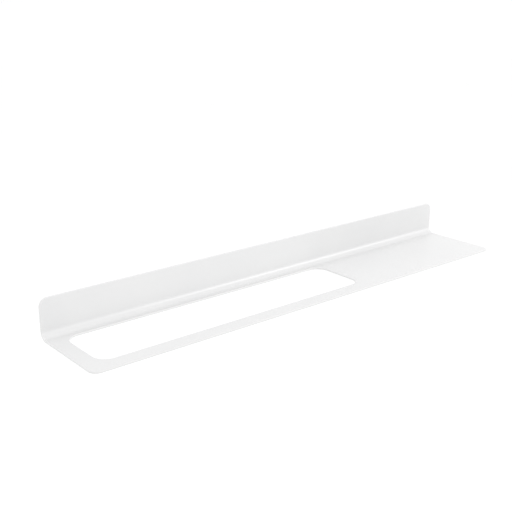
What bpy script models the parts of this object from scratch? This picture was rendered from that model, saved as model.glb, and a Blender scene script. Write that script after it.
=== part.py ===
"""Wall shelf bent from one sheet, with a towel slot, on two concealed hook brackets.

Run it with: blender --background --python part.py

Units are metres. X runs along the shelf, +Y points into the wall and +Z is up. The wall's
surface is the plane Y = 0. The origin lies on that surface, midway between the brackets,
on the line of the wall screws. Heights named below are measured from the tray's underside.
"""

import math

import bmesh
import bpy
from mathutils import Vector

# Shelf sheet
LENGTH = 0.600
DEPTH = 0.105  # upstand's back to front edge
HEIGHT = 0.0445  # tray's underside to upstand's top edge
SHEET = 0.002
BEND_RADIUS = 0.010  # outside of the bend
CORNER_RADIUS = 0.0095

# Towel slot: X from the middle of the shelf, Y forward from the upstand's back
SLOT_LEFT = -0.2815
SLOT_RIGHT = 0.072
SLOT_BACK = 0.0137
SLOT_FRONT = 0.0868
SLOT_RADIUS = 0.0157

# Wall side
STANDOFF = 0.007  # wall to upstand's back
SCREW_HEIGHT = 0.018
BRACKET_X = 0.200  # bracket's middle, left and right of the origin
GAP = 0.0003  # between pieces that touch
TRIM = 0.002  # sheet left round an outline before it is cut to shape

# Wall bracket: a base screwed to the wall, and a tongue that steps away from it
BRACKET_SHEET = 0.002
BRACKET_WIDTH = 0.100
BRACKET_FOOT = 0.010
BASE_TOP = 0.026
TONGUE_WIDTH = 0.056
TONGUE_BACK = 0.0026  # wall to the tongue's back
STEP_FOOT = 0.027
STEP_TOP = 0.031
TONGUE_TOP = 0.0385
BRACKET_CORNER = 0.003
STEP_RADIUS = 0.0010  # inside of the step's bends
HOLE_SPACING = 0.076
HOLE_RADIUS = 0.0023
HOLE_TRAVEL = 0.004  # sideways adjustment in the slotted hole

# Hanger: a strip on the upstand's back that turns over and hooks behind the tongue
HANGER_SHEET = 0.0015
HANGER_WIDTH = 0.050
HANGER_FOOT = 0.013
HANGER_CORNER = 0.005
HOOK_BACK = 0.0005  # wall to the hook's back
HOOK_FOOT = 0.0315
HOOK_RADIUS = (STANDOFF - GAP - HOOK_BACK) / 2
HOOK_CENTRE = 0.0376  # height of the hook's round top's centre

# Fasteners
SHANK_RADIUS = 0.0020
HEAD_RADIUS = 0.0040
HEAD_HEIGHT = 0.0023
SCREW_LENGTH = 0.040
SCREW_POINT = 0.006
RECESS_SPAN = 0.0042
RECESS_WIDTH = 0.0010
RECESS_DEPTH = 0.0014
WASHER_RADIUS = 0.0045
WASHER_THICKNESS = 0.0008
PLUG_RADIUS = 0.0030
PLUG_RIM_RADIUS = 0.0036
PLUG_RIM = 0.0008
PLUG_LENGTH = 0.030
PLUG_RIBS = 5
PLUG_SLIT_LENGTH = 0.018
PLUG_SLIT_WIDTH = 0.0008

# Bumpers
BUMPER_X = 0.265
BUMPER_HEIGHT = 0.0175
BUMPER_RADIUS = 0.006
BUMPER_CHAMFER = 0.001

ROUND_STEPS = 20
CORNER_STEPS = 8
SHARP_DEGREES = 30

WHITE_COAT = ("white_powder_coat", (0.90, 0.90, 0.90), 0.45, 0.0)
ZINC = ("zinc_plated_steel", (0.62, 0.63, 0.65), 0.35, 1.0)
NYLON = ("grey_nylon", (0.45, 0.46, 0.47), 0.55, 0.0)
SILICONE = ("clear_grey_silicone", (0.70, 0.71, 0.72), 0.60, 0.0)


def clear_scene():
    for old in list(bpy.data.objects):
        bpy.data.objects.remove(old, do_unlink=True)


def make_collection(name):
    collection = bpy.data.collections.new(name)
    bpy.context.scene.collection.children.link(collection)
    return collection


def make_material(name, colour, roughness, metallic):
    material = bpy.data.materials.new(name)
    material.use_nodes = True
    shader = material.node_tree.nodes["Principled BSDF"]
    shader.inputs["Base Color"].default_value = (*colour, 1.0)
    shader.inputs["Roughness"].default_value = roughness
    shader.inputs["Metallic"].default_value = metallic
    material.diffuse_color = (*colour, 1.0)
    return material


def arc(centre, radius, start, end, steps):
    """Points on an arc in the plane, from one angle in degrees to another."""
    points = []
    for i in range(steps + 1):
        angle = math.radians(start + (end - start) * i / steps)
        points.append((centre[0] + radius * math.cos(angle), centre[1] + radius * math.sin(angle)))
    return points


def rounded(corners, closed, steps=CORNER_STEPS):
    """A path through (point, radius) pairs, with an arc at each corner that has a radius."""
    path = []
    count = len(corners)
    for i, (point, radius) in enumerate(corners):
        if radius == 0 or (not closed and i in (0, count - 1)):
            path.append(point)
            continue
        here = Vector(point)
        back = (Vector(corners[i - 1][0]) - here).normalized()
        ahead = (Vector(corners[(i + 1) % count][0]) - here).normalized()
        half = back.angle(ahead) / 2
        centre = here + (back + ahead).normalized() * radius / math.sin(half)
        first = here + back * radius / math.tan(half) - centre
        last = here + ahead * radius / math.tan(half) - centre
        start = math.degrees(math.atan2(first.y, first.x))
        turn = math.degrees(math.atan2(first.cross(last), first.dot(last)))
        path += arc(centre, radius, start, start + turn, steps)
    return path


def rectangle(left, right, low, high, radius):
    return [((left, low), radius), ((right, low), radius), ((right, high), radius), ((left, high), radius)]


def place(obj, collection, material=None, parent=None, location=(0, 0, 0)):
    collection.objects.link(obj)
    obj.location = location
    obj.parent = parent
    if material:
        obj.data.materials.clear()
        obj.data.materials.append(material)
    return obj


def make_empty(name, collection):
    return place(bpy.data.objects.new(name, None), collection)


def final_mesh(obj, name):
    """The object's mesh with its modifiers applied. The object itself is removed."""
    bpy.context.view_layer.update()
    graph = bpy.context.evaluated_depsgraph_get()
    mesh = bpy.data.meshes.new_from_object(obj.evaluated_get(graph))
    mesh.name = name
    bpy.data.objects.remove(obj, do_unlink=True)
    return mesh


def shade(mesh):
    mesh.shade_smooth()
    mesh.set_sharp_from_angle(angle=math.radians(SHARP_DEGREES))


def flat_outline(name, path, thickness, collection):
    """A closed outline in XY, made solid by half its thickness up and half down."""
    curve = bpy.data.curves.new(name, "CURVE")
    curve.dimensions = "2D"
    curve.fill_mode = "BOTH"
    curve.extrude = thickness / 2
    spline = curve.splines.new("POLY")
    spline.points.add(len(path) - 1)
    for point, (x, y) in zip(spline.points, path):
        point.co = (x, y, 0, 1)
    spline.use_cyclic_u = True
    source = place(bpy.data.objects.new(name, curve), collection)
    mesh = final_mesh(source, name)
    work = bmesh.new()
    work.from_mesh(mesh)
    bmesh.ops.remove_doubles(work, verts=work.verts, dist=1e-6)
    bmesh.ops.recalc_face_normals(work, faces=work.faces)
    work.to_mesh(mesh)
    work.free()
    return place(bpy.data.objects.new(name, mesh), collection)


def as_cutter(obj, location=(0, 0, 0), upright=False):
    """A helper for a Boolean. An upright outline has its Y along the world's Z."""
    obj.location = location
    if upright:
        obj.rotation_euler.x = math.radians(90)
    obj.hide_render = True
    obj.display_type = "WIRE"
    return obj


def box_cutter(name, size, location, collection):
    mesh = bpy.data.meshes.new(name)
    work = bmesh.new()
    bmesh.ops.create_cube(work, size=1)
    bmesh.ops.scale(work, vec=size, verts=work.verts)
    work.to_mesh(mesh)
    work.free()
    return as_cutter(place(bpy.data.objects.new(name, mesh), collection), location)


def boolean(obj, cutter, operation="DIFFERENCE"):
    modifier = obj.modifiers.new(cutter.name, "BOOLEAN")
    modifier.operation = operation
    modifier.object = cutter


def bent_strip(name, path, width, thickness, collection):
    """A strip of sheet along X. The path gives one face in YZ; the thickness lies to its left."""
    mesh = bpy.data.meshes.new(name)
    work = bmesh.new()
    row = [work.verts.new((-width / 2, y, z)) for y, z in path]
    edges = [work.edges.new(pair) for pair in zip(row, row[1:])]
    grown = bmesh.ops.extrude_edge_only(work, edges=edges)
    far = [item for item in grown["geom"] if isinstance(item, bmesh.types.BMVert)]
    bmesh.ops.translate(work, verts=far, vec=(width, 0, 0))
    bmesh.ops.recalc_face_normals(work, faces=work.faces)
    left = Vector((1, 0, 0)).cross(row[1].co - row[0].co)
    if row[0].link_faces[0].normal.dot(left) < 0:
        bmesh.ops.reverse_faces(work, faces=work.faces)
    work.to_mesh(mesh)
    work.free()
    obj = place(bpy.data.objects.new(name, mesh), collection)
    solid = obj.modifiers.new("sheet", "SOLIDIFY")
    solid.thickness = thickness
    solid.offset = 1
    solid.use_even_offset = True
    return obj


def turned(name, profile, collection, closed=False):
    """A profile of (radius, z) points turned round Z. It runs down its outer side."""
    mesh = bpy.data.meshes.new(name)
    work = bmesh.new()
    row = [work.verts.new((radius, 0, z)) for radius, z in profile]
    for pair in zip(row, row[1:]):
        work.edges.new(pair)
    if closed:
        work.edges.new((row[-1], row[0]))
    work.to_mesh(mesh)
    work.free()
    obj = place(bpy.data.objects.new(name, mesh), collection)
    screw = obj.modifiers.new("turn", "SCREW")
    screw.steps = ROUND_STEPS
    screw.render_steps = ROUND_STEPS
    screw.use_merge_vertices = True
    screw.merge_threshold = 1e-5
    return obj


def make_shelf_plate(parts, cutters, material, parent):
    path = rounded([((-DEPTH, 0), 0), ((0, 0), BEND_RADIUS), ((0, HEIGHT), 0)], False)
    plate = bent_strip("shelf_plate", path, LENGTH, SHEET, parts)
    half = LENGTH / 2
    behind = BEND_RADIUS
    plan = [
        ((-half, -DEPTH), CORNER_RADIUS),
        ((half, -DEPTH), CORNER_RADIUS),
        ((half, behind), 0),
        ((-half, behind), 0),
    ]
    elevation = [
        ((-half, -behind), 0),
        ((half, -behind), 0),
        ((half, HEIGHT), CORNER_RADIUS),
        ((-half, HEIGHT), CORNER_RADIUS),
    ]
    slot = rectangle(SLOT_LEFT, SLOT_RIGHT, -SLOT_FRONT, -SLOT_BACK, SLOT_RADIUS)
    origin = (0, -STANDOFF, -SCREW_HEIGHT)
    plan_cutter = flat_outline("shelf_plan", rounded(plan, True), 4 * HEIGHT, cutters)
    elevation_cutter = flat_outline("shelf_elevation", rounded(elevation, True), 4 * DEPTH, cutters)
    slot_cutter = flat_outline("towel_slot", rounded(slot, True), 4 * SHEET, cutters)
    boolean(plate, as_cutter(plan_cutter, origin), "INTERSECT")
    boolean(plate, as_cutter(elevation_cutter, origin, upright=True), "INTERSECT")
    boolean(plate, as_cutter(slot_cutter, origin), "DIFFERENCE")
    plate.location = origin
    plate.parent = parent
    plate.data.materials.append(material)
    shade(plate.data)


def bracket_mesh(cutters):
    path = rounded(
        [
            ((0, BRACKET_FOOT - TRIM), 0),
            ((0, STEP_FOOT), STEP_RADIUS + BRACKET_SHEET),
            ((-TONGUE_BACK, STEP_TOP), STEP_RADIUS),
            ((-TONGUE_BACK, TONGUE_TOP + TRIM), 0),
        ],
        False,
        steps=3,
    )
    bracket = bent_strip("bracket", path, BRACKET_WIDTH + 2 * TRIM, BRACKET_SHEET, cutters)
    half = BRACKET_WIDTH / 2
    tongue = TONGUE_WIDTH / 2
    outline = [
        ((-half, BRACKET_FOOT), BRACKET_CORNER),
        ((half, BRACKET_FOOT), BRACKET_CORNER),
        ((half, BASE_TOP), BRACKET_CORNER),
        ((tongue, BASE_TOP), STEP_RADIUS),
        ((tongue, TONGUE_TOP), BRACKET_CORNER),
        ((-tongue, TONGUE_TOP), BRACKET_CORNER),
        ((-tongue, BASE_TOP), STEP_RADIUS),
        ((-half, BASE_TOP), BRACKET_CORNER),
    ]
    round_hole = rectangle(-HOLE_RADIUS, HOLE_RADIUS, -HOLE_RADIUS, HOLE_RADIUS, HOLE_RADIUS)
    reach = HOLE_RADIUS + HOLE_TRAVEL / 2
    slotted_hole = rectangle(-reach, reach, -HOLE_RADIUS, HOLE_RADIUS, HOLE_RADIUS)
    shape = flat_outline("bracket_outline", rounded(outline, True, 4), 4 * STANDOFF, cutters)
    boolean(bracket, as_cutter(shape, upright=True), "INTERSECT")
    for name, hole, side in (("round_hole", round_hole, -1), ("slotted_hole", slotted_hole, 1)):
        cutter = flat_outline(name, rounded(hole, True, 5), 4 * STANDOFF, cutters)
        centre = (side * HOLE_SPACING / 2, 0, SCREW_HEIGHT)
        boolean(bracket, as_cutter(cutter, centre, upright=True))
    return final_mesh(bracket, "wall_bracket")


def hanger_mesh(cutters):
    front = -(STANDOFF - GAP)
    hook = arc((-HOOK_BACK - HOOK_RADIUS, HOOK_CENTRE), HOOK_RADIUS, 180, 0, CORNER_STEPS)
    path = [(front, HANGER_FOOT - TRIM), *hook, (-HOOK_BACK, HOOK_FOOT)]
    strip = bent_strip("hanger", path[::-1], HANGER_WIDTH + 2 * TRIM, HANGER_SHEET, cutters)
    half = HANGER_WIDTH / 2
    outline = [
        ((-half, HANGER_FOOT), HANGER_CORNER),
        ((half, HANGER_FOOT), HANGER_CORNER),
        ((half, 2 * HOOK_CENTRE), 0),
        ((-half, 2 * HOOK_CENTRE), 0),
    ]
    shape = flat_outline("hanger_outline", rounded(outline, True, 5), 4 * STANDOFF, cutters)
    boolean(strip, as_cutter(shape, upright=True), "INTERSECT")
    return final_mesh(strip, "hanger")


def screw_mesh(cutters):
    """A pan-head screw. Z = 0 is the wall's surface and the head is at the top."""
    under_head = BRACKET_SHEET + WASHER_THICKNESS + 2 * GAP
    top = under_head + HEAD_HEIGHT
    point = under_head - SCREW_LENGTH
    profile = [
        (0, top),
        (0.55 * HEAD_RADIUS, top - 0.04 * HEAD_HEIGHT),
        (0.85 * HEAD_RADIUS, top - 0.22 * HEAD_HEIGHT),
        (HEAD_RADIUS, top - 0.60 * HEAD_HEIGHT),
        (HEAD_RADIUS, under_head),
        (SHANK_RADIUS, under_head),
        (SHANK_RADIUS, point + SCREW_POINT),
        (0, point),
    ]
    screw = turned("screw", profile, cutters)
    depth = 2 * RECESS_DEPTH
    across = (RECESS_SPAN, RECESS_WIDTH, depth)
    along = (RECESS_WIDTH, RECESS_SPAN, depth)
    for name, size in (("recess_across", across), ("recess_along", along)):
        boolean(screw, box_cutter(name, size, (0, 0, top), cutters))
    return final_mesh(screw, "wall_screw")


def washer_mesh(cutters):
    low = BRACKET_SHEET + GAP
    high = low + WASHER_THICKNESS
    profile = [(HOLE_RADIUS, high), (WASHER_RADIUS, high), (WASHER_RADIUS, low), (HOLE_RADIUS, low)]
    return final_mesh(turned("washer", profile, cutters, closed=True), "washer")


def plug_mesh(cutters):
    """A ribbed wall plug. Its rim is at the wall's surface and its split end is below."""
    rim = -GAP
    end = rim - PLUG_LENGTH
    neck = rim - PLUG_RIM
    pitch = (neck - end) / (PLUG_RIBS + 1)
    profile = [(HOLE_RADIUS, rim), (PLUG_RIM_RADIUS, rim), (PLUG_RIM_RADIUS, neck)]
    valley = PLUG_RADIUS - GAP
    for i in range(PLUG_RIBS):
        profile.append((valley, neck - pitch * i))
        profile.append((PLUG_RADIUS, neck - pitch * (i + 0.8)))
    profile.append((valley, neck - pitch * PLUG_RIBS))
    profile.append((valley, end))
    profile.append((HOLE_RADIUS, end))
    plug = turned("plug", profile, cutters, closed=True)
    across = (4 * PLUG_RADIUS, PLUG_SLIT_WIDTH, 2 * PLUG_SLIT_LENGTH)
    along = (PLUG_SLIT_WIDTH, 4 * PLUG_RADIUS, 2 * PLUG_SLIT_LENGTH)
    for name, size in (("slit_across", across), ("slit_along", along)):
        boolean(plug, box_cutter(name, size, (0, 0, end), cutters))
    return final_mesh(plug, "wall_plug")


def bumper_mesh(cutters):
    """A soft disc between the wall and the upstand. Z = 0 is the wall's surface."""
    top = STANDOFF - GAP
    inner = BUMPER_RADIUS - BUMPER_CHAMFER
    profile = [(0, top), (BUMPER_RADIUS, top), (BUMPER_RADIUS, BUMPER_CHAMFER), (inner, 0), (0, 0)]
    return final_mesh(turned("bumper", profile, cutters), "bumper")


def add_copy(name, mesh, collection, material, parent, location, facing_out=False):
    """One object for a repeated piece. A turned piece facing out has its Z along the world's -Y."""
    obj = place(bpy.data.objects.new(name, mesh), collection, material, parent, location)
    if facing_out:
        obj.rotation_euler.x = math.radians(90)


def main():
    clear_scene()
    parts = make_collection("wall_shelf")
    cutters = make_collection("cutters")
    white = make_material(*WHITE_COAT)
    zinc = make_material(*ZINC)
    nylon = make_material(*NYLON)
    silicone = make_material(*SILICONE)
    wall_side = make_empty("wall_side", parts)
    shelf_side = make_empty("shelf_lift", parts)

    make_shelf_plate(parts, cutters, white, shelf_side)
    bracket = bracket_mesh(cutters)
    hanger = hanger_mesh(cutters)
    screw = screw_mesh(cutters)
    washer = washer_mesh(cutters)
    plug = plug_mesh(cutters)
    bumper = bumper_mesh(cutters)
    for mesh in (bracket, hanger, screw, washer, plug, bumper):
        shade(mesh)

    for side, sign in (("left", -1), ("right", 1)):
        spot = (sign * BRACKET_X, 0, -SCREW_HEIGHT)
        add_copy(f"wall_bracket_{side}", bracket, parts, zinc, wall_side, spot)
        add_copy(f"hanger_{side}", hanger, parts, white, shelf_side, spot)
        for where, step in (("outer", sign), ("inner", -sign)):
            end = f"{side}_{where}"
            hole = (sign * BRACKET_X + step * HOLE_SPACING / 2, 0, 0)
            add_copy(f"wall_screw_{end}", screw, parts, zinc, wall_side, hole, facing_out=True)
            add_copy(f"washer_{end}", washer, parts, zinc, wall_side, hole, facing_out=True)
            add_copy(f"wall_plug_{end}", plug, parts, nylon, wall_side, hole, facing_out=True)
    for side, sign in (("left", -1), ("middle", 0), ("right", 1)):
        spot = (sign * BUMPER_X, 0, BUMPER_HEIGHT - SCREW_HEIGHT)
        add_copy(f"bumper_{side}", bumper, parts, silicone, shelf_side, spot, facing_out=True)


main()
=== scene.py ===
"""A slim wall shelf: one steel sheet, bent once and powder coated white, with a long towel slot.

It hangs on two zinc-plated hook brackets, which stay hidden behind its upstand. Metres, +Z up.
The wall's surface is y = 0 and the shelf stands out from it towards -Y.
"""

from math import atan2, ceil, cos, pi, radians, sin, tan

import bmesh
import bpy
from mathutils import Matrix, Vector


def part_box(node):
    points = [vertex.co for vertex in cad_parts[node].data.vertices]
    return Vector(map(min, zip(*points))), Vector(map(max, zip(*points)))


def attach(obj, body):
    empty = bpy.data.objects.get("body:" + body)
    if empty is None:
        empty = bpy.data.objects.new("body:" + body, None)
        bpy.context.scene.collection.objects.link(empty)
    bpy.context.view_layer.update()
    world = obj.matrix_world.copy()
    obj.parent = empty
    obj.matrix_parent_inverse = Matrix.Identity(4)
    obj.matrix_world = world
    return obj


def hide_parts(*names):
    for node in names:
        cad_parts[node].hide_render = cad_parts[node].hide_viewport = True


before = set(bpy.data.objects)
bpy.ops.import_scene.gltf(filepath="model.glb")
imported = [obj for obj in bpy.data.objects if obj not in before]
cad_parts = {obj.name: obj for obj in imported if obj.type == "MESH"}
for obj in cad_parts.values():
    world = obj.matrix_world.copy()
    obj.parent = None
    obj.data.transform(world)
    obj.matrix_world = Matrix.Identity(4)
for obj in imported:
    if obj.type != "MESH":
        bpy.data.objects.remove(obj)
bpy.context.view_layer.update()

# The shelf's sheet
SHEET = 0.002
BEND_RADIUS = 0.009  # of the middle of the sheet
CORNER_RADIUS = 0.0095
SLOT_LEFT = 0.0185  # from the sheet's left end
SLOT_RIGHT = 0.372
SLOT_FRONT = 0.0182  # from the front edge
SLOT_BACK = 0.0913
SLOT_RADIUS = 0.0157
COATED_EDGE = 0.00045  # radius that the coat gives a cut edge

# Wall brackets, pressed from zinc-plated sheet
BRACKET_SHEET = 0.002
BRACKET_BASE = 0.016  # height of the wide part that is screwed on
BRACKET_TONGUE = 0.056  # width of the tongue
BRACKET_CORNER = 0.003
BRACKET_NOTCH = 0.001  # radius between base and tongue
BRACKET_EDGE = 0.0003
JOG = 0.0026  # how far the tongue stands off the wall
JOG_RISE = 0.004
JOG_BEGIN = 0.017  # above the bracket's foot, on its back
JOG_RADIUS = 0.002
HOLE_SPACING = 0.076
HOLE_RADIUS = 0.0023
HOLE_TRAVEL = 0.004  # extra length of the slotted hole
SCREW_LINE = 0.008  # above the bracket's foot

# Hangers, hooked strips welded to the upstand
HANGER_SHEET = 0.0015
HANGER_CORNER = 0.005
HANGER_EDGE = 0.00035
HANGER_LEG = 0.0246  # flat part against the upstand
HANGER_HOOK = 0.0061  # flat end of the hook
HOOK_RADIUS = 0.00235
WELD_SPREAD = 0.032  # between the two columns of spot welds
WELD_RISE = 0.011  # between the two rows
WELD_RADIUS = 0.0024
WELD_DEPTH = 0.0003
DENT_PROFILE = ((0.9, 0.25), (0.8, 0.75), (0.7, 1.0), (0.3, 1.0))  # (share of radius, of depth)
HOOK_TIP_CORNER = 0.0012

# Screws, washers, plugs and bumpers
HEAD_RADIUS = 0.004
HEAD_HEIGHT = 0.0023
HEAD_SHOULDER = 0.0006  # radius between the head's crown and its side
HEAD_RIM = 0.00025  # radius between the head's side and its underside
CROWN_DROP = 0.3  # share of the head's height that the crown falls
SCREW_LENGTH = 0.040
THREAD_LENGTH = 0.034
THREAD_PITCH = 0.0018
THREAD_RADIUS = 0.002
CORE_RADIUS = 0.00138
POINT_LENGTH = 0.006
# One turn of the thread as (share of the pitch, share of the thread's height)
THREAD_PROFILE = ((0.0, 0.0), (0.50, 0.0), (0.70, 0.9), (0.75, 1.0), (0.80, 0.9))
RECESS_SPAN = 0.0042
RECESS_WIDTH = 0.0009
RECESS_DEPTH = 0.0015
WASHER_RADIUS = 0.0045
WASHER_THICKNESS = 0.0008
WASHER_ROLLED = 0.00025  # radius of its upper edges
WASHER_CRISP = 0.0001  # radius of its lower edges
PLUG_RADIUS = 0.003
PLUG_RIM_RADIUS = 0.0036
PLUG_RIM = 0.0008
PLUG_LENGTH = 0.030
PLUG_RIBS = 11
PLUG_BORE = 0.0021
PLUG_FIN = 0.0004
PLUG_VALLEY = 0.00035  # depth between two ribs
PLUG_SOFT = 0.0002  # radius of the collar's edges
RIB_CROWN = 0.00006  # how far a rib's shoulders lie below its crown
SLIT_LENGTH = 0.018
SLIT_WIDTH = 0.0008
BUMPER_RADIUS = 0.006
BUMPER_SOFT = 0.0016  # radius of its front edge
BUMPER_DOME = 0.0003
GAP = 0.0003  # that the CAD model leaves between pieces that touch

# How finely round shapes are divided
BEND_STEP = radians(4.5)
ARC_STEP = radians(6)
EDGE_STEPS = 4
EDGE_SUPPORT = 0.0003
RING_STEPS = 48
CRISP_ANGLE = radians(40)  # turned and moulded edges bent more than this stay crisp
WELD_POINTS = 1e-6  # points this near become one where two parts of a mesh meet
TINY = 1e-7

# Stage: the camera stands left of the shelf and above it
CAMERA_PLACE = (-0.6393, -0.7562, 0.3317)
CAMERA_YAW = radians(39.63)
CAMERA_PITCH = radians(18.14)
CAMERA_ROLL = radians(0.14)
CAMERA_LENS = 60.2
CAMERA_REACH = 500.0
FLOOR_LEVEL = -1.5
FLOOR_SIZE = 120.0
LIGHT_DISTANCE = 3.0


# ---------------------------------------------------------------- materials


class Shader:
    """A new node material with a Principled shader, and short ways to add nodes to it."""

    def __init__(self, name, **values):
        self.material = bpy.data.materials.new(name)
        self.material.use_nodes = True
        self.tree = self.material.node_tree
        self.principled = self.tree.nodes["Principled BSDF"]
        for socket, value in values.items():
            self.principled.inputs[socket.replace("_", " ")].default_value = value
        self.place = self.node("TexCoord").outputs["Object"]

    def node(self, kind, **values):
        made = self.tree.nodes.new("ShaderNode" + kind)
        for socket, value in values.items():
            made.inputs[socket.replace("_", " ")].default_value = value
        return made

    def link(self, output, target):
        self.tree.links.new(output, target)

    def noise(self, scale, detail=2.0, stretch=(1, 1, 1)):
        """Noise with features about 1 / scale metres across, longer where stretch is under 1."""
        mapping = self.node("Mapping", Scale=stretch)
        self.link(self.place, mapping.inputs["Vector"])
        texture = self.node("TexNoise", Scale=scale, Detail=detail)
        self.link(mapping.outputs["Vector"], texture.inputs["Vector"])
        return texture.outputs["Fac"]

    def ranged(self, value, low, high):
        """The middle of a noise's range, spread from low to high."""
        spread = self.node("MapRange", From_Min=0.3, From_Max=0.7, To_Min=low, To_Max=high)
        self.link(value, spread.inputs["Value"])
        return spread.outputs["Result"]

    def mixed(self, value, first, second):
        blend = self.node("Mix")
        blend.data_type = "RGBA"
        self.link(value, blend.inputs[0])
        blend.inputs[6].default_value = (*first, 1)
        blend.inputs[7].default_value = (*second, 1)
        return blend.outputs[2]

    def average(self, first, second, share):
        """Both values together, with this share of the second."""
        blend = self.node("Mix", Factor=share)
        self.link(first, blend.inputs[2])
        self.link(second, blend.inputs[3])
        return blend.outputs[0]

    def colour(self, value, first, second):
        self.link(self.mixed(value, first, second), self.principled.inputs["Base Color"])

    def roughness(self, value, low, high):
        self.link(self.ranged(value, low, high), self.principled.inputs["Roughness"])

    def bump(self, height, distance):
        """Relief of this depth in metres."""
        relief = self.node("Bump", Distance=distance)
        self.link(height, relief.inputs["Height"])
        self.link(relief.outputs["Normal"], self.principled.inputs["Normal"])


def powder_coat():
    """Baked white powder: a fine orange peel over slow waves, and faint mottling."""
    shader = Shader("powder_coat", IOR=1.5)
    peel = shader.noise(900, 3)
    waves = shader.noise(150, 1)
    cloud = shader.noise(14, 3)
    shader.colour(shader.ranged(cloud, 0, 1), (0.637, 0.638, 0.640), (0.653, 0.653, 0.653))
    shader.roughness(peel, 0.35, 0.39)
    shader.bump(shader.average(waves, peel, 0.35), 0.00003)
    return shader.material


def zinc_plate():
    """Zinc over rolled sheet: grain along X, clouded from blue grey to pale grey."""
    shader = Shader("zinc_plate", Metallic=1.0)
    grain = shader.noise(500, 4, stretch=(0.06, 1, 1))
    cloud = shader.noise(60, 3)
    tint = shader.ranged(shader.average(cloud, grain, 0.4), 0, 1)
    shader.colour(tint, (0.34, 0.36, 0.395), (0.52, 0.525, 0.515))
    shader.roughness(shader.average(cloud, grain, 0.5), 0.26, 0.52)
    shader.bump(grain, 0.00003)
    return shader.material


def zinc_screw():
    """Zinc on screws and washers, a little brighter than on the brackets."""
    shader = Shader("zinc_screw", Metallic=1.0)
    cloud = shader.noise(400, 3)
    fine = shader.noise(2500, 2)
    shader.colour(shader.ranged(cloud, 0, 1), (0.42, 0.44, 0.48), (0.58, 0.575, 0.55))
    shader.roughness(shader.average(cloud, fine, 0.3), 0.18, 0.38)
    shader.bump(fine, 0.000006)
    return shader.material


def nylon():
    """Moulded grey nylon, matt, with a slightly uneven skin."""
    shader = Shader("nylon", IOR=1.53)
    skin = shader.noise(1600, 3)
    cloud = shader.noise(180, 2)
    shader.colour(shader.ranged(cloud, 0, 1), (0.155, 0.162, 0.168), (0.195, 0.2, 0.205))
    shader.roughness(shader.average(cloud, skin, 0.35), 0.45, 0.62)
    shader.bump(skin, 0.000015)
    return shader.material


def silicone():
    """Soft grey silicone with a dull, slightly clouded surface."""
    shader = Shader("silicone", IOR=1.43)
    skin = shader.noise(1200, 2)
    cloud = shader.noise(240, 3)
    shader.colour(shader.ranged(cloud, 0, 1), (0.43, 0.44, 0.45), (0.5, 0.51, 0.515))
    shader.roughness(shader.average(cloud, skin, 0.35), 0.3, 0.45)
    shader.bump(skin, 0.00001)
    return shader.material


def pale_floor():
    """A pale studio floor that glows a little, so that it stays even out to its far edge."""
    shader = Shader("pale_floor", Emission_Strength=0.38)
    shader.principled.inputs["Emission Color"].default_value = (1, 1, 1, 1)
    cloud = shader.noise(0.4, 2)
    shader.colour(shader.ranged(cloud, 0, 1), (0.59, 0.59, 0.59), (0.61, 0.61, 0.61))
    shader.roughness(cloud, 0.85, 0.95)
    return shader.material


# ------------------------------------------------------- folded sheet metal


class Fold:
    """The middle of a bent sheet seen from its end, as straight runs and round bends.

    start is (y, z), heading is the first run's angle from +Y towards +Z, and a run is
    (length, turn). Levels are distances along the middle, as on the flat blank.
    """

    def __init__(self, start, heading, runs):
        self.runs = []
        self.length = 0.0
        point = Vector(start)
        for length, turn in runs:
            self.runs.append((self.length, length, turn, point, heading))
            point = self.along(point, heading, length, turn, length)
            heading += turn
            self.length += length

    @staticmethod
    def along(point, heading, length, turn, distance):
        if not turn:
            return point + distance * Vector((cos(heading), sin(heading)))
        radius = length / turn
        now = heading + distance / radius
        return point + radius * Vector((sin(now) - sin(heading), cos(heading) - cos(now)))

    def at(self, level):
        """The middle's point at this level, and the direction that the upper face looks in."""
        for first, length, turn, point, heading in self.runs:
            if level <= first + length:
                break
        distance = level - first
        now = heading + turn * distance / length
        return self.along(point, heading, length, turn, distance), Vector((-sin(now), cos(now)))

    def levels(self):
        """The levels at which the blank is divided, so that each bend comes out round."""
        found = []
        for first, length, turn, _, _ in self.runs:
            if not turn:
                continue
            steps = max(4, ceil(abs(turn) / BEND_STEP))
            found.append(first - EDGE_SUPPORT)
            found += [first + length * i / steps for i in range(steps + 1)]
            found.append(first + length + EDGE_SUPPORT)
        return found


def joggle(before, after, step, rise, radius):
    """Runs for a strip that moves sideways by step over a height of rise, with two round bends."""
    slope = atan2(step, rise)
    bend = radius * slope
    trim = radius * tan(slope / 2)
    straight = (step**2 + rise**2) ** 0.5 - 2 * trim
    return [(before - trim, 0), (bend, slope), (straight, 0), (bend, -slope), (after - trim, 0)]


def rounded(corners, levels=(), inset=0.0):
    """A closed outline with rounded corners, as (point, outward direction) pairs.

    corners are (x, y, radius) with the material on the left of the way round, and the
    outline is moved inwards by inset. It gets a point wherever it crosses a level.
    """
    loop = []
    for i, (x, y, radius) in enumerate(corners):
        corner = Vector((x, y))
        before = (corner - Vector(corners[i - 1][:2])).normalized()
        after = (Vector(corners[(i + 1) % len(corners)][:2]) - corner).normalized()
        turn = atan2(before.cross(after), before.dot(after))
        bulge = radius if turn > 0 else -radius
        outward = Vector((before.y, -before.x))
        centre = corner - before * radius * tan(abs(turn) / 2) - outward * bulge
        steps = max(3, ceil(abs(turn) / ARC_STEP))
        for k in range(steps + 1):
            normal = Matrix.Rotation(turn * k / steps, 2) @ outward
            loop.append((centre + normal * (bulge - inset), normal))
    return divided(loop, levels)


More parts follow.
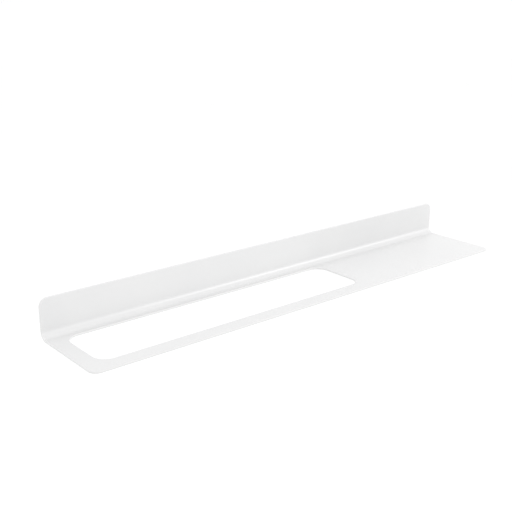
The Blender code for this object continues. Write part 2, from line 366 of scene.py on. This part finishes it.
def divided(loop, levels):
    """The loop with a point added wherever it crosses a level."""
    found = []
    for (a, a_normal), (b, b_normal) in zip(loop, loop[1:] + loop[:1]):
        if (a - b).length < TINY:
            continue
        found.append((a, a_normal))
        low, high = sorted((a.y, b.y))
        crossed = [level for level in levels if low + TINY < level < high - TINY]
        for level in sorted(crossed, reverse=a.y > b.y):
            share = (level - a.y) / (b.y - a.y)
            found.append((a.lerp(b, share), a_normal.lerp(b_normal, share).normalized()))
    return found


def rectangle(left, right, low, high, radius, hole=False):
    """Corners with the material inside, or outside for a hole."""
    corners = [(left, low), (right, low), (right, high), (left, high)]
    corners = [(x, y, radius) for x, y in corners]
    return corners[::-1] if hole else corners


def join_ring(work, ring):
    for a, b in zip(ring, ring[1:] + ring[:1]):
        work.edges.new((a, b))


def join_level(work, level):
    """Edges along a level, wherever it crosses the material."""
    crossing = [(v.co.x, i) for i, v in enumerate(work.verts) if abs(v.co.y - level) < TINY]
    crossing.sort()
    work.verts.ensure_lookup_table()
    for (_, a), (_, b) in zip(crossing[::2], crossing[1::2]):
        work.edges.new((work.verts[a], work.verts[b]))


def fill_band(work, low, high):
    """Fills the blank between two levels: a plain strip as one face, else with triangles."""
    band = [e for e in work.edges if all(low - TINY < v.co.y < high + TINY for v in e.verts)]
    if len(band) == 4:
        bmesh.ops.edgenet_fill(work, edges=band)
    else:
        bmesh.ops.triangle_fill(work, edges=band, use_beauty=True)


def fill_blank(work, levels):
    low = min(v.co.y for v in work.verts)
    high = max(v.co.y for v in work.verts)
    cuts = [low, *levels, high]
    for a, b in zip(cuts, cuts[1:]):
        fill_band(work, a, b)


def dent_ring(work, x, y, radius):
    turns = [2 * pi * i / RING_STEPS for i in range(RING_STEPS)]
    ring = [work.verts.new((x + radius * cos(t), y + radius * sin(t), 0)) for t in turns]
    join_ring(work, ring)
    return ring


def press_dent(work, sunk, ring, centre, depth):
    """Fills a ring of the blank with a round, flat-bottomed dent, and notes how deep it sinks."""
    outer = ring
    for reach, fall in DENT_PROFILE:
        inner = [work.verts.new(centre + (v.co - centre) * reach) for v in ring]
        for v in inner:
            sunk[v] = fall * depth
        for i in range(len(inner)):
            work.faces.new((outer[i - 1], outer[i], inner[i], inner[i - 1]))
        outer = inner
    work.faces.new(outer)


def flat_blank(levels, outlines, inset, dents):
    """The sheet before it is bent: its filled mesh, its rims and how deep its points are sunk.

    A rim is a list of (point, outward direction) round one outline.
    """
    blank = bmesh.new()
    rims = []
    for corners in outlines:
        loop = rounded(corners, levels, inset)
        rims.append([(blank.verts.new((*point, 0)), normal) for point, normal in loop])
        join_ring(blank, [v for v, _ in rims[-1]])
    for level in levels:
        join_level(blank, level)
    rings = [dent_ring(blank, x, y, radius) for x, y, radius, _ in dents]
    fill_blank(blank, levels)
    sunk = {}
    for (x, y, _, depth), ring in zip(dents, rings):
        press_dent(blank, sunk, ring, Vector((x, y, 0)), depth)
    return blank, rims, sunk


def close_rim(body, sections):
    """Faces from each section of a sheet's edge to the next, all the way round."""
    for a, b in zip(sections, sections[1:] + sections[:1]):
        for k in range(len(a) - 1):
            body.faces.new((a[k], b[k], b[k + 1], a[k + 1]))


def folded_sheet(name, fold, outlines, sheet, edge, left=0.0, dents=()):
    """A bent sheet with rounded edges.

    outlines are corner lists on the flat blank, where x runs along the bend and y is the level.
    dents are (x, y, radius, depth), pressed into the lower face.
    """
    blank, rims, sunk = flat_blank(fold.levels(), outlines, edge + EDGE_SUPPORT, dents)
    body = bmesh.new()

    def place(x, y, height):
        point, up = fold.at(y)
        return body.verts.new((left + x, *(point + up * height)))

    upper = {v: place(v.co.x, v.co.y, sheet / 2) for v in blank.verts}
    lower = {v: place(v.co.x, v.co.y, sunk.get(v, 0) - sheet / 2) for v in blank.verts}
    for face in blank.faces:
        body.faces.new([upper[v] for v in face.verts])
        body.faces.new([lower[v] for v in face.verts])
    for rim in rims:
        sections = []
        for vert, normal in rim:
            section = [upper[vert]]
            for out, height in edge_profile(sheet, edge):
                spot = vert.co.xy + normal * out
                section.append(place(spot.x, spot.y, height))
            sections.append([*section, lower[vert]])
        close_rim(body, sections)
    blank.free()
    bmesh.ops.recalc_face_normals(body, faces=body.faces)
    return as_object(name, body)


def edge_profile(sheet, edge):
    """Points (outwards, height) round a sheet's edge, from its upper face to its lower one."""
    quarter = [pi / 2 * k / EDGE_STEPS for k in range(EDGE_STEPS + 1)]
    flat = sheet / 2 - edge
    over = [(EDGE_SUPPORT + edge * sin(t), flat + edge * cos(t)) for t in quarter]
    return over + [(out, -height) for out, height in reversed(over)]


def as_object(name, work):
    """The mesh as a smooth-shaded object."""
    mesh = bpy.data.meshes.new(name)
    work.to_mesh(mesh)
    work.free()
    mesh.shade_smooth()
    piece = bpy.data.objects.new(name, mesh)
    bpy.context.scene.collection.objects.link(piece)
    return piece


# ------------------------------------------------------------- turned parts


def bead(centre, radius, start, end, steps=6):
    """Profile points round a small arc, from one angle to another in degrees."""
    turns = [radians(start + (end - start) * k / steps) for k in range(steps + 1)]
    return [(centre[0] + radius * cos(t), centre[1] + radius * sin(t)) for t in turns]


def join_rings(work, lower, upper):
    """Faces between two rings, either of which may be a single point on the axis."""
    count = max(len(lower), len(upper))
    for i in range(count):
        a, b = lower[i % len(lower)], lower[(i + 1) % len(lower)]
        c, d = upper[(i + 1) % len(upper)], upper[i % len(upper)]
        work.faces.new(list(dict.fromkeys((a, b, c, d))))


def revolve(work, profile, closed=False, shape=None):
    """Turns (radius, height) points round Z. shape may change a radius by height and angle."""
    rings = []
    for radius, height in profile:
        if radius < TINY:
            rings.append([work.verts.new((0, 0, height))])
            continue
        ring = []
        for i in range(RING_STEPS):
            angle = 2 * pi * i / RING_STEPS
            reach = shape(radius, height, angle) if shape else radius
            ring.append(work.verts.new((reach * cos(angle), reach * sin(angle), height)))
        rings.append(ring)
    for lower, upper in zip(rings, rings[1:] + (rings[:1] if closed else [])):
        join_rings(work, lower, upper)


def cut(piece, cutter):
    """Cuts a closed mesh out of the piece, joins points that coincide, and removes the cutter."""
    modifier = piece.modifiers.new("cut", "BOOLEAN")
    modifier.operation = "DIFFERENCE"
    modifier.solver = "EXACT"
    modifier.object = cutter
    graph = bpy.context.evaluated_depsgraph_get()
    mesh = bpy.data.meshes.new_from_object(piece.evaluated_get(graph))
    work = bmesh.new()
    work.from_mesh(mesh)
    bmesh.ops.remove_doubles(work, verts=work.verts, dist=TINY)
    work.to_mesh(mesh)
    work.free()
    piece.modifiers.clear()
    piece.data = mesh
    bpy.data.objects.remove(cutter)


def cross_loft(sections):
    """A closed cross-shaped cutter. Each section is (height, half span, half width)."""
    work = bmesh.new()
    rings = []
    for height, span, width in sections:
        arm = [(span, -width), (span, width), (width, width)]
        ring = []
        for quarter in range(4):
            turn = Matrix.Rotation(quarter * pi / 2, 2)
            ring += [work.verts.new((*(turn @ Vector(p)), height)) for p in arm]
        rings.append(ring)
    for lower, upper in zip(rings, rings[1:]):
        join_rings(work, lower, upper)
    work.faces.new(rings[0])
    work.faces.new(rings[-1])
    bmesh.ops.recalc_face_normals(work, faces=work.faces)
    return as_object("cutter", work)


def thread_radius(height, rise, begin, end):
    """The core's radius or more, at rise between it and the crest, tapered towards the point."""
    fade = min(1, (begin - height) / THREAD_PITCH)
    taper = min(1, (height - end) / POINT_LENGTH) ** 0.75
    return taper * (CORE_RADIUS + rise * fade * (THREAD_RADIUS - CORE_RADIUS))


def add_thread(work, begin, end):
    """A wood screw's thread from begin down to its point at end, on a grid along the helix."""
    turns = ceil((begin - end) / THREAD_PITCH)
    rows = []
    for turn in range(-1, turns + 1):
        for along, rise in THREAD_PROFILE:
            row = []
            for i in range(RING_STEPS + 1):
                height = begin - THREAD_PITCH * (turn + along + i / RING_STEPS)
                height = min(begin, max(end, height))
                radius = thread_radius(height, rise, begin, end)
                angle = 2 * pi * i / RING_STEPS
                row.append(work.verts.new((radius * cos(angle), radius * sin(angle), height)))
            rows.append(row)
    for upper, lower in zip(rows, rows[1:]):
        for i in range(RING_STEPS):
            work.faces.new((lower[i], lower[i + 1], upper[i + 1], upper[i]))


def head_profile(under_head, top):
    """The section of a screw's head and the fillet below it, from the middle of its crown."""
    shares = (0, 0.15, 0.3, 0.45, 0.6, 0.75, 0.86)
    crown = [(HEAD_RADIUS * s, top - HEAD_HEIGHT * CROWN_DROP * s**3) for s in shares]
    shoulder = bead((HEAD_RADIUS - HEAD_SHOULDER, top - 2 * HEAD_SHOULDER), HEAD_SHOULDER, 60, 0)
    rim = bead((HEAD_RADIUS - HEAD_RIM, under_head + HEAD_RIM), HEAD_RIM, 0, -90, 3)
    fillet = [(CORE_RADIUS + 0.0003, under_head), (CORE_RADIUS + 0.0001, under_head - 0.0001)]
    return crown + shoulder + rim + fillet + [(CORE_RADIUS, under_head - 0.0003)]


def cross_cutter(top):
    """The cross recess in a head whose crown is at top: it narrows downwards."""
    half, width = RECESS_SPAN / 2, RECESS_WIDTH / 2
    above, bottom = top + 0.0005, top - RECESS_DEPTH
    return cross_loft([(above, half * 1.1, width * 1.15), (bottom, half * 0.42, width * 0.6)])


def screw_shape():
    """A pan-head wood screw. Z = 0 is the wall's surface, and the head is at the top."""
    under_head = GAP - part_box("washer_left_inner")[0].y
    top = under_head + HEAD_HEIGHT
    point = under_head - SCREW_LENGTH
    begin = point + THREAD_LENGTH
    work = bmesh.new()
    revolve(work, head_profile(under_head, top) + [(CORE_RADIUS, begin)])
    add_thread(work, begin, point)
    bmesh.ops.remove_doubles(work, verts=work.verts, dist=WELD_POINTS)
    bmesh.ops.dissolve_degenerate(work, edges=work.edges, dist=TINY)
    bmesh.ops.recalc_face_normals(work, faces=work.faces)
    screw = as_object("screw_shape", work)
    cut(screw, cross_cutter(top))
    return finished(screw)


def washer_shape():
    """A punched washer: its upper edge is rolled round, and its lower one is sharper."""
    low = -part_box("washer_left_inner")[1].y
    high = low + WASHER_THICKNESS
    soft, crisp = WASHER_ROLLED, WASHER_CRISP
    outer, inner = WASHER_RADIUS, HOLE_RADIUS
    profile = (
        bead((outer - soft, high - soft), soft, 90, 0)
        + bead((outer - crisp, low + crisp), crisp, 0, -90, 3)
        + bead((inner + crisp, low + crisp), crisp, 270, 180, 3)
        + bead((inner + soft, high - soft), soft, 180, 90)
    )
    work = bmesh.new()
    revolve(work, profile, closed=True)
    bmesh.ops.recalc_face_normals(work, faces=work.faces)
    return finished(as_object("washer_shape", work))


def plug_profile(rim, end):
    """The section of a ribbed plug, round its collar, down its ribs and back up its bore."""
    neck = rim - PLUG_RIM
    pitch = (neck - end - 0.004) / PLUG_RIBS
    valley = PLUG_RADIUS - PLUG_VALLEY
    collar = PLUG_RIM_RADIUS - PLUG_SOFT
    profile = bead((collar, rim - PLUG_SOFT), PLUG_SOFT, 90, 0, 4)
    profile += bead((collar, neck + PLUG_SOFT), PLUG_SOFT, 0, -90, 4)
    profile.append((valley, neck))
    for i in range(PLUG_RIBS):
        begin = neck - 0.001 - pitch * i
        profile.append((valley, begin))
        profile.append((PLUG_RADIUS - RIB_CROWN, begin - pitch * 0.72))
        profile.append((PLUG_RADIUS, begin - pitch * 0.78))
        profile.append((PLUG_RADIUS - RIB_CROWN, begin - pitch * 0.84))
    nose = neck - 0.001 - pitch * PLUG_RIBS
    profile += [(valley, nose), (valley - 0.0001, end + 0.0008), (valley - 0.00035, end + 0.0001)]
    profile += [(PLUG_BORE, end), (PLUG_BORE, rim - 0.0003), (PLUG_BORE + 0.0003, rim)]
    return profile


def plug_shape():
    """A moulded wall plug with ribs, two fins that stop it turning, and a split end."""
    rim = -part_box("wall_plug_left_inner")[0].y
    end = rim - PLUG_LENGTH

    def finned(radius, height, angle):
        on_shaft = end + 0.012 < height < rim - PLUG_RIM - 0.0015
        if on_shaft and radius > PLUG_BORE + 0.0003 and abs(sin(angle)) < 0.1:
            return PLUG_RADIUS + PLUG_FIN
        return radius

    work = bmesh.new()
    revolve(work, plug_profile(rim, end), closed=True, shape=finned)
    bmesh.ops.recalc_face_normals(work, faces=work.faces)
    plug = as_object("plug_shape", work)
    for turn in (pi / 4, 3 * pi / 4):
        blade = bmesh.new()
        bmesh.ops.create_cube(blade, size=1)
        size = Matrix.Diagonal((4 * PLUG_RADIUS, SLIT_WIDTH, 2 * SLIT_LENGTH, 1))
        move = Matrix.Translation((0, 0, end)) @ Matrix.Rotation(turn, 4, "Z") @ size
        bmesh.ops.transform(blade, matrix=move, verts=blade.verts)
        cut(plug, as_object("cutter", blade))
    return finished(plug)


def bumper_shape():
    """A stick-on bumper: flat where it is glued to the upstand, softly domed towards the wall."""
    low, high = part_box("bumper_middle")
    glued = -low.y
    touch = -high.y
    side = BUMPER_RADIUS - BUMPER_SOFT
    dome = [(BUMPER_RADIUS * s, touch + BUMPER_DOME * s**2) for s in (0, 0.2, 0.4, 0.6)]
    profile = (
        dome
        + bead((side, touch + BUMPER_SOFT + BUMPER_DOME / 2), BUMPER_SOFT, -90, 0, 10)
        + [(BUMPER_RADIUS, (glued + touch) / 2)]
        + bead((BUMPER_RADIUS - 0.0003, glued - 0.0003), 0.0003, 0, 90, 4)
        + [(0.6 * BUMPER_RADIUS, glued), (0, glued)]
    )
    work = bmesh.new()
    revolve(work, profile)
    bmesh.ops.recalc_face_normals(work, faces=work.faces)
    return finished(as_object("bumper_shape", work))


def finished(piece):
    """The piece's mesh alone, turned to face the room instead of up, with crisp edges marked."""
    mesh = piece.data
    mesh.transform(Matrix.Rotation(pi / 2, 4, "X"))
    mesh.shade_smooth()
    mesh.set_sharp_from_angle(angle=CRISP_ANGLE)
    bpy.data.objects.remove(piece)
    return mesh


# ------------------------------------------------------------------- pieces


def settle(piece, node, body, material):
    """Gives the piece its finish and the body that it moves with, and hides the CAD node that it
    stands in for.
    """
    piece.data.materials.clear()
    piece.data.materials.append(material)
    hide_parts(node)
    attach(piece, body)


def make_shelf(material):
    low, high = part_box("shelf_plate")
    length = high.x - low.x
    tray = (high.y - low.y) - SHEET / 2 - BEND_RADIUS
    upstand = (high.z - low.z) - SHEET / 2 - BEND_RADIUS
    runs = [(tray, 0), (BEND_RADIUS * pi / 2, pi / 2), (upstand, 0)]
    fold = Fold((low.y, low.z + SHEET / 2), 0, runs)
    outline = rectangle(0, length, 0, fold.length, CORNER_RADIUS)
    slot = rectangle(SLOT_LEFT, SLOT_RIGHT, SLOT_FRONT, SLOT_BACK, SLOT_RADIUS, hole=True)
    shelf = folded_sheet("bent_sheet", fold, [outline, slot], SHEET, COATED_EDGE, left=low.x)
    settle(shelf, "shelf_plate", "shelf", material)


def make_hanger(side, material):
    node = f"hanger_{side}"
    low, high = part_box(node)
    runs = [(HANGER_LEG, 0), (HOOK_RADIUS * pi, -pi), (HANGER_HOOK, 0)]
    fold = Fold((low.y + HANGER_SHEET / 2, low.z), pi / 2, runs)
    width = high.x - low.x
    outline = [
        (0, 0, HANGER_CORNER),
        (width, 0, HANGER_CORNER),
        (width, fold.length, HOOK_TIP_CORNER),
        (0, fold.length, HOOK_TIP_CORNER),
    ]
    dents = []
    for across in (-WELD_SPREAD / 2, WELD_SPREAD / 2):
        for up in (-WELD_RISE / 2, WELD_RISE / 2):
            dents.append((width / 2 + across, HANGER_LEG / 2 + up, WELD_RADIUS, WELD_DEPTH))
    name = f"hook_{side}"
    hanger = folded_sheet(name, fold, [outline], HANGER_SHEET, HANGER_EDGE, low.x, dents)
    settle(hanger, node, "shelf", material)


def bracket_outline(width, top):
    """A wide base for the screws, with a narrower tongue up to top in its middle."""
    middle, half = width / 2, BRACKET_TONGUE / 2
    return [
        (0, 0, BRACKET_CORNER),
        (width, 0, BRACKET_CORNER),
        (width, BRACKET_BASE, BRACKET_CORNER),
        (middle + half, BRACKET_BASE, BRACKET_NOTCH),
        (middle + half, top, BRACKET_CORNER),
        (middle - half, top, BRACKET_CORNER),
        (middle - half, BRACKET_BASE, BRACKET_NOTCH),
        (0, BRACKET_BASE, BRACKET_CORNER),
    ]


def bracket_holes(middle):
    """A round hole on the left and a slotted one on the right."""
    holes = []
    for x, reach in ((middle - HOLE_SPACING / 2, 0), (middle + HOLE_SPACING / 2, HOLE_TRAVEL / 2)):
        across = reach + HOLE_RADIUS
        low, high = SCREW_LINE - HOLE_RADIUS, SCREW_LINE + HOLE_RADIUS
        holes.append(rectangle(x - across, x + across, low, high, HOLE_RADIUS, hole=True))
    return holes


def make_bracket(side, material):
    node = f"wall_bracket_{side}"
    low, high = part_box(node)
    lean = BRACKET_SHEET / 2 * tan(atan2(JOG, JOG_RISE) / 2)
    before = JOG_BEGIN - lean
    after = (high.z - low.z) - before - JOG_RISE
    runs = joggle(before, after, JOG, JOG_RISE, JOG_RADIUS)
    fold = Fold((-BRACKET_SHEET / 2, low.z), pi / 2, runs)
    width = high.x - low.x
    outlines = [bracket_outline(width, fold.length), *bracket_holes(width / 2)]
    name = f"bracket_{side}"
    bracket = folded_sheet(name, fold, outlines, BRACKET_SHEET, BRACKET_EDGE, low.x)
    settle(bracket, node, "wall_side", material)


def make_copies(shape, kind, name, places, body, material):
    """A piece at each place of this kind of node, centred on the node's box across the wall."""
    for place in places:
        node = f"{kind}_{place}"
        low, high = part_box(node)
        mesh = shape.copy()
        mesh.transform(Matrix.Translation(((low.x + high.x) / 2, 0, (low.z + high.z) / 2)))
        piece = bpy.data.objects.new(f"{name}_{place}", mesh)
        bpy.context.scene.collection.objects.link(piece)
        settle(piece, node, body, material)
    bpy.data.meshes.remove(shape)


def make_fixings():
    """Screws, washers and plugs at both ends of both brackets, and bumpers under the upstand."""
    places = [f"{side}_{end}" for side in ("left", "right") for end in ("outer", "inner")]
    steel = zinc_screw()
    make_copies(screw_shape(), "wall_screw", "screw", places, "wall_side", steel)
    make_copies(washer_shape(), "washer", "flat_washer", places, "wall_side", steel)
    make_copies(plug_shape(), "wall_plug", "plug", places, "wall_side", nylon())
    spots = ("left", "middle", "right")
    make_copies(bumper_shape(), "bumper", "pad", spots, "shelf", silicone())


# -------------------------------------------------------------------- stage


def make_camera():
    data = bpy.data.cameras.new("camera")
    data.sensor_width = 36
    data.lens = CAMERA_LENS
    data.clip_end = CAMERA_REACH
    camera = bpy.data.objects.new("camera", data)
    turn = Matrix.Rotation(-CAMERA_YAW, 4, "Z") @ Matrix.Rotation(pi / 2 - CAMERA_PITCH, 4, "X")
    turn = turn @ Matrix.Rotation(CAMERA_ROLL, 4, "Z")
    camera.matrix_world = Matrix.Translation(CAMERA_PLACE) @ turn
    bpy.context.scene.collection.objects.link(camera)
    bpy.context.scene.camera = camera


def make_floor():
    work = bmesh.new()
    bmesh.ops.create_grid(work, x_segments=8, y_segments=8, size=FLOOR_SIZE / 2)
    bmesh.ops.translate(work, verts=work.verts, vec=(0, 0, FLOOR_LEVEL))
    floor = as_object("floor", work)
    floor.data.materials.append(pale_floor())


def make_softbox(name, azimuth, elevation, width, height, radiance):
    """An area light that faces the shelf. Azimuth 0 is straight in front and 90 is to the right.

    width and height are the angles that it covers, and radiance is in units of the room's.
    """
    light = bpy.data.lights.new(name, "AREA")
    light.shape = "RECTANGLE"
    light.size = 2 * LIGHT_DISTANCE * tan(radians(width / 2))
    light.size_y = 2 * LIGHT_DISTANCE * tan(radians(height / 2))
    light.energy = radiance * pi * light.size * light.size_y
    softbox = bpy.data.objects.new(name, light)
    side, up = radians(azimuth), radians(elevation)
    towards = Vector((sin(side) * cos(up), -cos(side) * cos(up), sin(up)))
    softbox.rotation_euler = towards.to_track_quat("Z", "Y").to_euler()
    softbox.location = towards * LIGHT_DISTANCE
    softbox.visible_camera = False
    bpy.context.scene.collection.objects.link(softbox)


def make_light():
    """Even white light from all round, a softbox at the right front and faint soft panels."""
    world = bpy.data.worlds.new("studio")
    world.use_nodes = True
    background = world.node_tree.nodes["Background"]
    background.inputs["Color"].default_value = (1, 1, 1, 1)
    background.inputs["Strength"].default_value = 1.0
    bpy.context.scene.world = world
    make_softbox("key_softbox", 40, 18, 20, 14, radiance=11.5)
    make_softbox("left_panel", -80, 15, 60, 30, radiance=1.1)
    make_softbox("back_panel", 112, 15, 45, 30, radiance=0.2)
    make_softbox("top_panel", 0, 90, 54, 54, radiance=0.85)
    view = bpy.context.scene.view_settings
    view.view_transform = "Standard"
    view.look = "None"


make_camera()
make_floor()
make_light()
coat = powder_coat()
zinc = zinc_plate()
make_shelf(coat)
for side in ("left", "right"):
    make_hanger(side, coat)
    make_bracket(side, zinc)
make_fixings()
